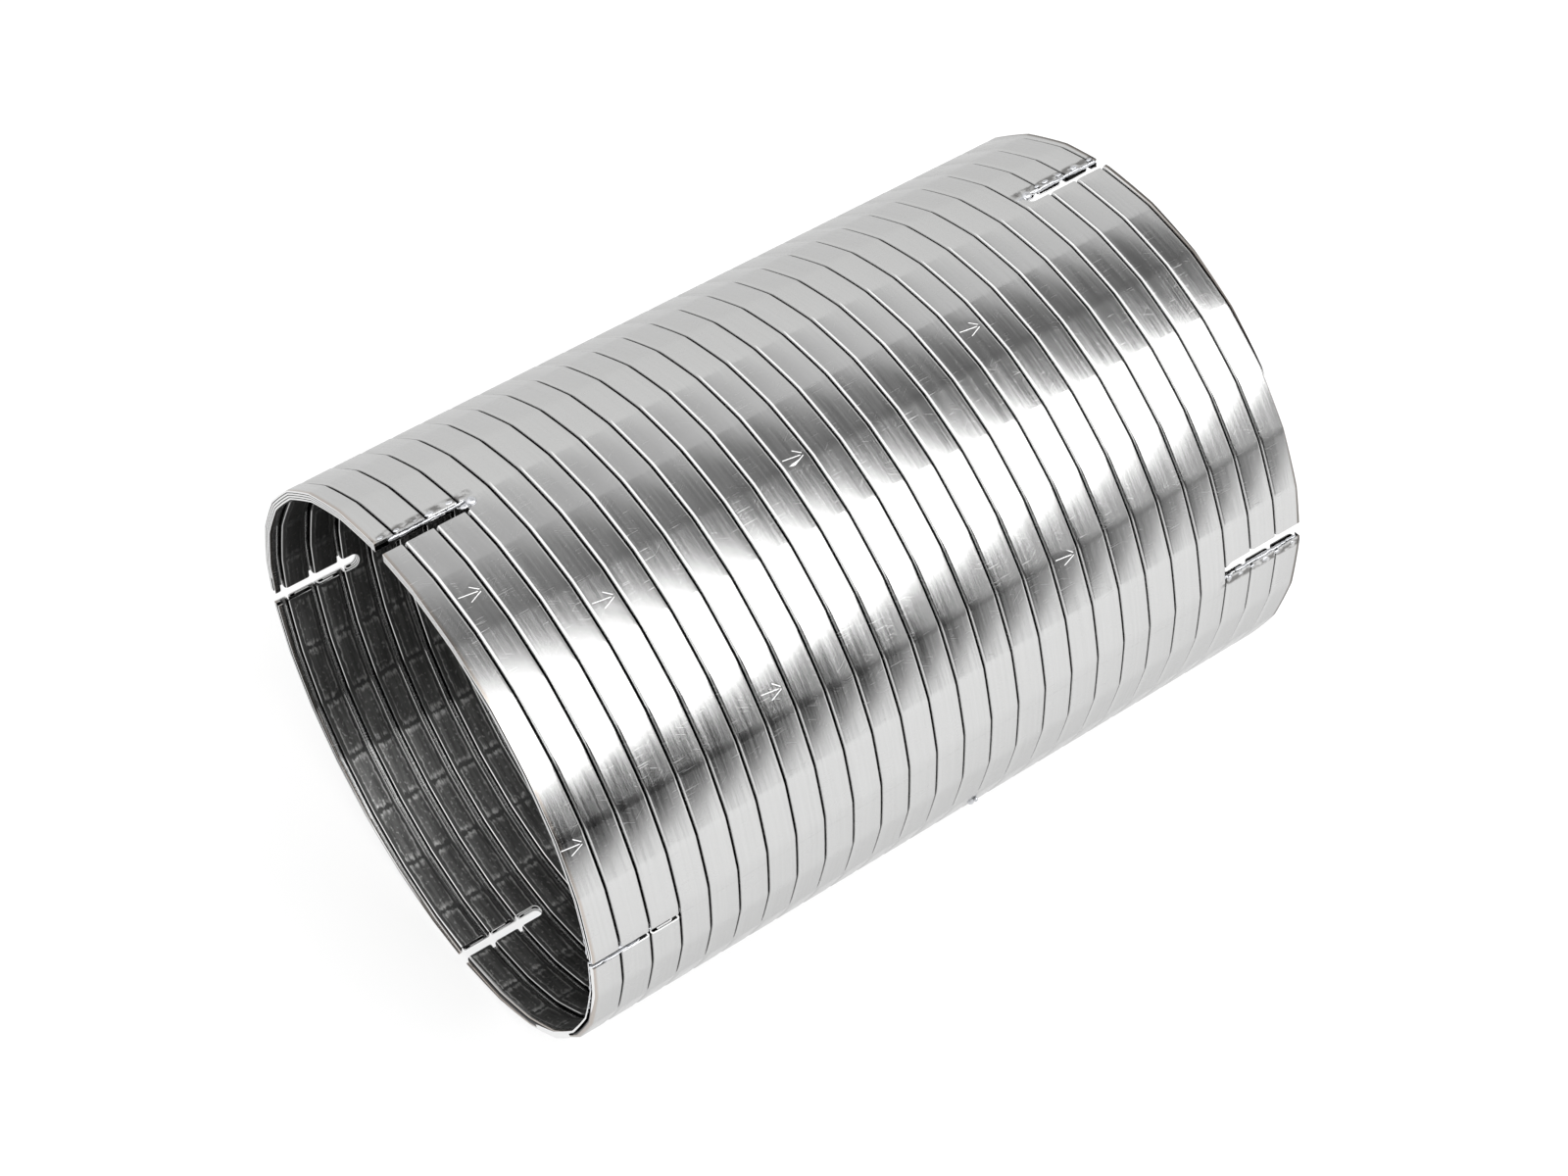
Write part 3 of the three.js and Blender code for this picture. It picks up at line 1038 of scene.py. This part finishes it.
def steel_material():
    """Brushed strip outside, oiled and scuffed by the rolls inside; painted shade deep in the seam gaps, at
    end B's rim and in the very dark bore colour, and painted light brightening the bore's scuffs towards the
    bottom.
    """
    name = "brushed_strip"
    if name in bpy.data.materials:
        return bpy.data.materials[name]
    finish = bpy.context.scene.pipe_finish
    material, tree, shader = new_material(name)
    strip = add(tree, "ShaderNodeUVMap", uv_map="Strip").outputs[0]
    place = add(tree, "ShaderNodeUVMap", uv_map="Place").outputs[0]
    spot = add(tree, "ShaderNodeTexCoord").outputs["Object"]
    along, around, _ = split(tree, strip)
    facet, depth, _ = split(tree, place)

    streak = strip_noise(along * 32.0, around * 1500.0, roughness=0.55)
    grain = strip_noise(along * 260.0, around * 9000.0, 3.0, detail=2.0)
    cross = scratches(along, around, 0.0, 5.0)
    swirl = scratches(along, around, 0.75, 9.0).math("MAXIMUM", scratches(along, around, -0.5, 12.0))
    blotch = strip_noise(along * 130.0, around * 330.0, 1.0)
    cloud = noise(tree, spot, detail=2.0, scale=28.0)

    loop = section_points(bpy.context.scene.pipe_strip)
    inner = [around for _, depth, around in loop if depth > BORE_FACE]
    middle = (min(inner) + max(inner)) / 2
    half = (max(inner) - min(inner)) / 2
    # painted shade: the strip from about 0.7 mm to 2 mm below the outer flat, inside the seam gaps, is
    # painted near black where shade falls
    seam_shade = ramp(depth, 0.7 * MM, 1.0 * MM) * (1.0 - ramp(depth, 1.95 * MM, 2.03 * MM))
    reach = (facet.math("FRACT") - 0.5).math("ABSOLUTE")
    across = (around - middle) / half
    aside = across.math("ABSOLUTE")
    bore = (1.0 - ramp(across, 1.0, 1.04)) * ramp(across, -1.16, -1.12)
    ragged = strip_noise(along * 420.0, around * 900.0, 2.0, detail=4.0, roughness=0.65) - 0.5
    edge = (reach * 2.12).math("MAXIMUM", aside * 1.22) + ragged * 0.5
    pad = 1.0 - ramp(edge, 0.9, 1.02)
    outline = pad * ramp(edge, 0.74, 0.92)
    worn = ramp(strip_noise(along * 70.0, around * 1100.0, 7.0), 0.35, 0.65)
    fleck = ramp(strip_noise(along * 900.0, around * 1300.0, 4.0), 0.56, 0.72)

    weld_gap, from_middle = nearest_weld(tree, spot)
    near_end = ramp(from_middle, LENGTH / 2 - 25 * MM, LENGTH / 2 - 23 * MM)
    burnt = noise(tree, spot, detail=3.0, scale=420.0)
    heat = (1.0 - ramp(weld_gap + (burnt - 0.5) * (2.2 * MM), 0.7 * MM, 1.5 * MM)) * near_end
    heat = heat * ramp(burnt, 0.38, 0.56)
    rim = ramp(from_middle, LENGTH / 2 - 1.0 * MM, LENGTH / 2 - 0.3 * MM)
    bore = bore * (1.0 - ramp(from_middle, LENGTH / 2 - 1.5 * MM, LENGTH / 2 - 1.2 * MM) * 0.85)
    # painted light: the scuffed pads and their bright outlines in the bore are painted brighter towards the
    # bottom, where light from the open end and the floor falls
    low_side_light = 1.0 - ramp(split(tree, spot)[2], AXIS_Z - 35 * MM, AXIS_Z + 10 * MM) * 0.7

    outside = mix_colour(tree, streak * 0.5 + cloud * 0.2, finish.steel, [c * 0.84 for c in finish.steel])
    at_b = split(tree, spot)[0].math("GREATER_THAN", 0.0)
    layers = (
        (rim * 0.55, (0.42, 0.34, 0.28)),
        # painted shade: end B's rim is painted nearly black for the shadow of the last seam beside it
        (rim * at_b * 0.8, (0.07, 0.065, 0.06)),
        (heat * 0.75, (0.09, 0.085, 0.08)),
        # painted shade deep in the seam gaps
        (seam_shade, (0.012, 0.012, 0.012)),
    )
    for share, tint in layers:
        outside = mix_colour(tree, share, outside, tint)
    # the bore's own oiled colour with its scuffed pads, which are painted brighter low down as painted light
    inside = mix_colour(tree, pad * (worn * 0.6 + 0.3) * low_side_light, finish.bore, finish.pad)
    bright = (outline * worn + pad * fleck * 0.6) * low_side_light
    inside = mix_colour(tree, bright, inside, [c * 3.0 for c in finish.pad])
    feed(tree, shader.inputs["Base Color"], mix_colour(tree, bore, outside, inside))
    outer_rough = ramp(streak, 0.35, 0.7) * 0.08 + blotch * 0.08 + (finish.gloss - 0.06)
    outer_rough = outer_rough + cross * 0.25 + swirl * 0.1 + heat * 0.2
    rough = outer_rough * (1.0 - bore) + bore * (0.5 - pad * 0.12)
    feed(tree, shader.inputs["Roughness"], rough)
    feed_all(tree, shader, {"Metallic": 1.0, "Specular Tint": (0.72, 0.72, 0.72, 1.0)})
    feed_all(tree, shader, {"Anisotropic": 0.6, "Anisotropic Rotation": 0.25})
    tangent = add(tree, "ShaderNodeTangent", direction_type="UV_MAP", uv_map="Strip")
    feed(tree, shader.inputs["Tangent"], tangent)
    height = streak * 0.14 + grain * 0.12 + cross * -0.4 + swirl * -0.2 + blotch * 1.5 + bore * outline * 4.0
    bump = add(tree, "ShaderNodeBump", {"Height": height, "Strength": 0.25, "Distance": 0.02 * MM})
    feed(tree, shader.inputs["Normal"], bump)
    return material


def scratches(along, around, slant, seed):
    """Thin lines that cross the strip at a slant, at random."""
    down = along - around * slant
    over = around + along * slant
    line = strip_noise(down * 4200.0, over * 130.0, seed, detail=1.0)
    area = strip_noise(along * 90.0, around * 200.0, seed + 1.0, detail=1.0)
    return ramp(line, 0.66, 0.76) * ramp(area, 0.42, 0.6)


def weld_material():
    """Weld metal: shiny lumps with dark, heat-tinted creases."""
    name = "weld_metal"
    if name in bpy.data.materials:
        return bpy.data.materials[name]
    finish = bpy.context.scene.pipe_finish
    material, tree, shader = new_material(name)
    spot = add(tree, "ShaderNodeTexCoord").outputs["Object"]
    lumps = noise(tree, spot, detail=3.0, scale=900.0)
    scale = noise(tree, spot, detail=4.0, scale=3500.0)
    crease = 1.0 - ramp(lumps, 0.3, 0.44)
    feed(tree, shader.inputs["Base Color"], mix_colour(tree, crease, finish.weld, (0.06, 0.055, 0.05)))
    feed(tree, shader.inputs["Roughness"], scale * 0.25 + crease * 0.3 + 0.14)
    shader.inputs["Metallic"].default_value = 1.0
    bump = add(tree, "ShaderNodeBump", {"Height": lumps + scale * 0.3, "Strength": 0.4, "Distance": 0.1 * MM})
    feed(tree, shader.inputs["Normal"], bump)
    return material


def glowing_paint(name, tint, glow):
    material, tree, shader = new_material(name)
    feed_all(tree, shader, {"Base Color": (*tint, 1.0), "Roughness": 0.8, "Specular IOR Level": 0.0})
    feed_all(tree, shader, {"Emission Color": (*tint, 1.0), "Emission Strength": glow})
    return material


# The stage.


def card(name, size, matrix, material):
    """A flat card of the stage."""
    x, y = size[0] / 2, size[1] / 2
    mesh = bpy.data.meshes.new(name)
    mesh.from_pydata([(-x, -y, 0), (x, -y, 0), (x, y, 0), (-x, y, 0)], [], [(0, 1, 2, 3)])
    mesh.transform(matrix)
    mesh.materials.append(material)
    obj = add_object(name, mesh)
    return obj


def facing_axis(tilt, distance, along=0.0):
    """A frame that looks at the pipe's axis from a tilt off the vertical, towards the front."""
    back = Matrix.Translation((along, 0, AXIS_Z)) @ Matrix.Rotation(tilt, 4, "X")
    return back @ Matrix.Translation((0, 0, distance))


REACH = 0.93  # from the pipe's axis to the cards round it
SOFTBOX_SIZE = (1.5, 0.83)
SOFTBOX_TILT = math.radians(40.6)
SOFTBOX_X = 0.38

BESIDE = (-0.15, 1.4)  # the x that the cards beside the pipe span
BEYOND_A = (-2.2, -0.15)

# Cards round the pipe that only its reflections see: the tilts they span in degrees from overhead towards the
# front, the x they span, and how bright they are where end A's and end B's reflections fall.
FLAGS = (
    ("fill_back", -172.0, -102.0, *BESIDE, 1.4, 1.2),
    ("flag_rise", -40.0, -13.7, *BESIDE, 0.62, 0.85),
    ("flag_top", -13.7, 15.8, *BESIDE, 0.23, 0.15),
    ("flag_lip", 15.8, 20.8, *BESIDE, 1.5, 0.15),
    ("flag_front", 64.8, 81.0, *BESIDE, 0.02, 0.5),
    ("flag_knee", 81.0, 93.0, *BESIDE, 0.0, 0.3),
    ("flag_foot", 93.0, 98.5, *BESIDE, 0.55, 0.25),
    ("fill_side", -50.0, 42.0, *BEYOND_A, 1.9, 1.9),
    ("flag_side", 55.0, 115.0, *BEYOND_A, 0.08, 0.08),
)


def glow_material(name, near, far):
    """A cloth that glows from one strength to another along x."""
    material, tree, shader = new_material(name)
    x = split(tree, add(tree, "ShaderNodeTexCoord").outputs["Object"])[0]
    share = ((x - 0.28) / 0.2).math("MAXIMUM", 0.0).math("MINIMUM", 1.0)
    feed_all(tree, shader, {"Base Color": (0.0, 0.0, 0.0, 1.0), "Specular IOR Level": 0.0})
    shader.inputs["Emission Color"].default_value = (1.0, 1.0, 1.0, 1.0)
    feed(tree, shader.inputs["Emission Strength"], share * (far - near) + near)
    return material


class PIPE_OT_stage(bpy.types.Operator):
    """Set the pale floor, the softbox with its dark flags, and the camera"""

    bl_idname = "pipe.stage"
    bl_label = "Stage"

    def execute(self, context):
        scene = context.scene
        stage = scene.pipe_stage
        scene.view_settings.view_transform = "Standard"

        floor = glowing_paint("floor_paint", (0.25, 0.25, 0.25), 3.0)
        card("floor", (8.0, 8.0), Matrix.Translation((0, 0, LOW.z - 0.2 * MM)), floor)
        for name, low, high, west, east, near, far in FLAGS:
            tilt = math.radians((low + high) / 2)
            height = 2 * REACH * math.tan(math.radians(high - low) / 2)
            place = facing_axis(tilt, REACH, (west + east) / 2)
            flag = card(name, (east - west, height), place, glow_material(name + "_cloth", near, far))
            for ray in ("camera", "diffuse", "shadow", "transmission"):
                setattr(flag, "visible_" + ray, False)

        light = bpy.data.lights.new("softbox", "AREA")
        light.shape = "RECTANGLE"
        light.size, light.size_y = SOFTBOX_SIZE
        light.energy = stage.softbox
        softbox = bpy.data.objects.new("softbox", light)
        softbox.matrix_world = facing_axis(SOFTBOX_TILT, REACH, SOFTBOX_X)
        softbox.visible_camera = False
        scene.collection.objects.link(softbox)

        world = bpy.data.worlds.new("studio")
        world.use_nodes = True
        world.node_tree.nodes["Background"].inputs[0].default_value = (0.97, 0.97, 0.965, 1.0)
        scene.world = world

        camera = bpy.data.cameras.new("camera")
        camera.lens = stage.lens
        viewer = bpy.data.objects.new("camera", camera)
        scene.collection.objects.link(viewer)
        turn = Matrix.Rotation(stage.azimuth, 4, "Z") @ Matrix.Rotation(math.pi / 2 - stage.elevation, 4, "X")
        viewer.matrix_world = (
            Matrix.Translation((0, 0, AXIS_Z)) @ turn @ Matrix.Translation((0, -stage.drop, stage.distance))
        )
        scene.camera = viewer
        return {"FINISHED"}


class PIPE_PT_panel(bpy.types.Panel):
    """Lists the steps that make the pipe"""

    bl_label = "Strip-wound Pipe"
    bl_idname = "PIPE_PT_panel"
    bl_space_type = "VIEW_3D"
    bl_region_type = "UI"
    bl_category = "Pipe"

    def draw(self, context):
        for operator in OPERATORS:
            self.layout.operator(operator.bl_idname)


OPERATORS = (PIPE_OT_stage, PIPE_OT_wind_turns, PIPE_OT_clamp_tabs, PIPE_OT_tack_welds, PIPE_OT_small_tacks)
GROUPS = {
    "pipe_strip": StripSizes,
    "pipe_slot": SlotSizes,
    "pipe_arrow": ArrowSizes,
    "pipe_finish": Finishes,
    "pipe_stage": StageSizes,
}


def register():
    for each in (*GROUPS.values(), *OPERATORS, PIPE_PT_panel):
        bpy.utils.register_class(each)
    for name, group in GROUPS.items():
        setattr(bpy.types.Scene, name, PointerProperty(type=group))


def unregister():
    for name in GROUPS:
        delattr(bpy.types.Scene, name)
    for each in (PIPE_PT_panel, *reversed(OPERATORS), *reversed(list(GROUPS.values()))):
        bpy.utils.unregister_class(each)


def main():
    register()
    bpy.ops.pipe.stage()
    bpy.ops.pipe.wind_turns()
    bpy.ops.pipe.clamp_tabs()
    bpy.ops.pipe.tack_welds()
    bpy.ops.pipe.small_tacks()


if __name__ == "__main__":
    main()
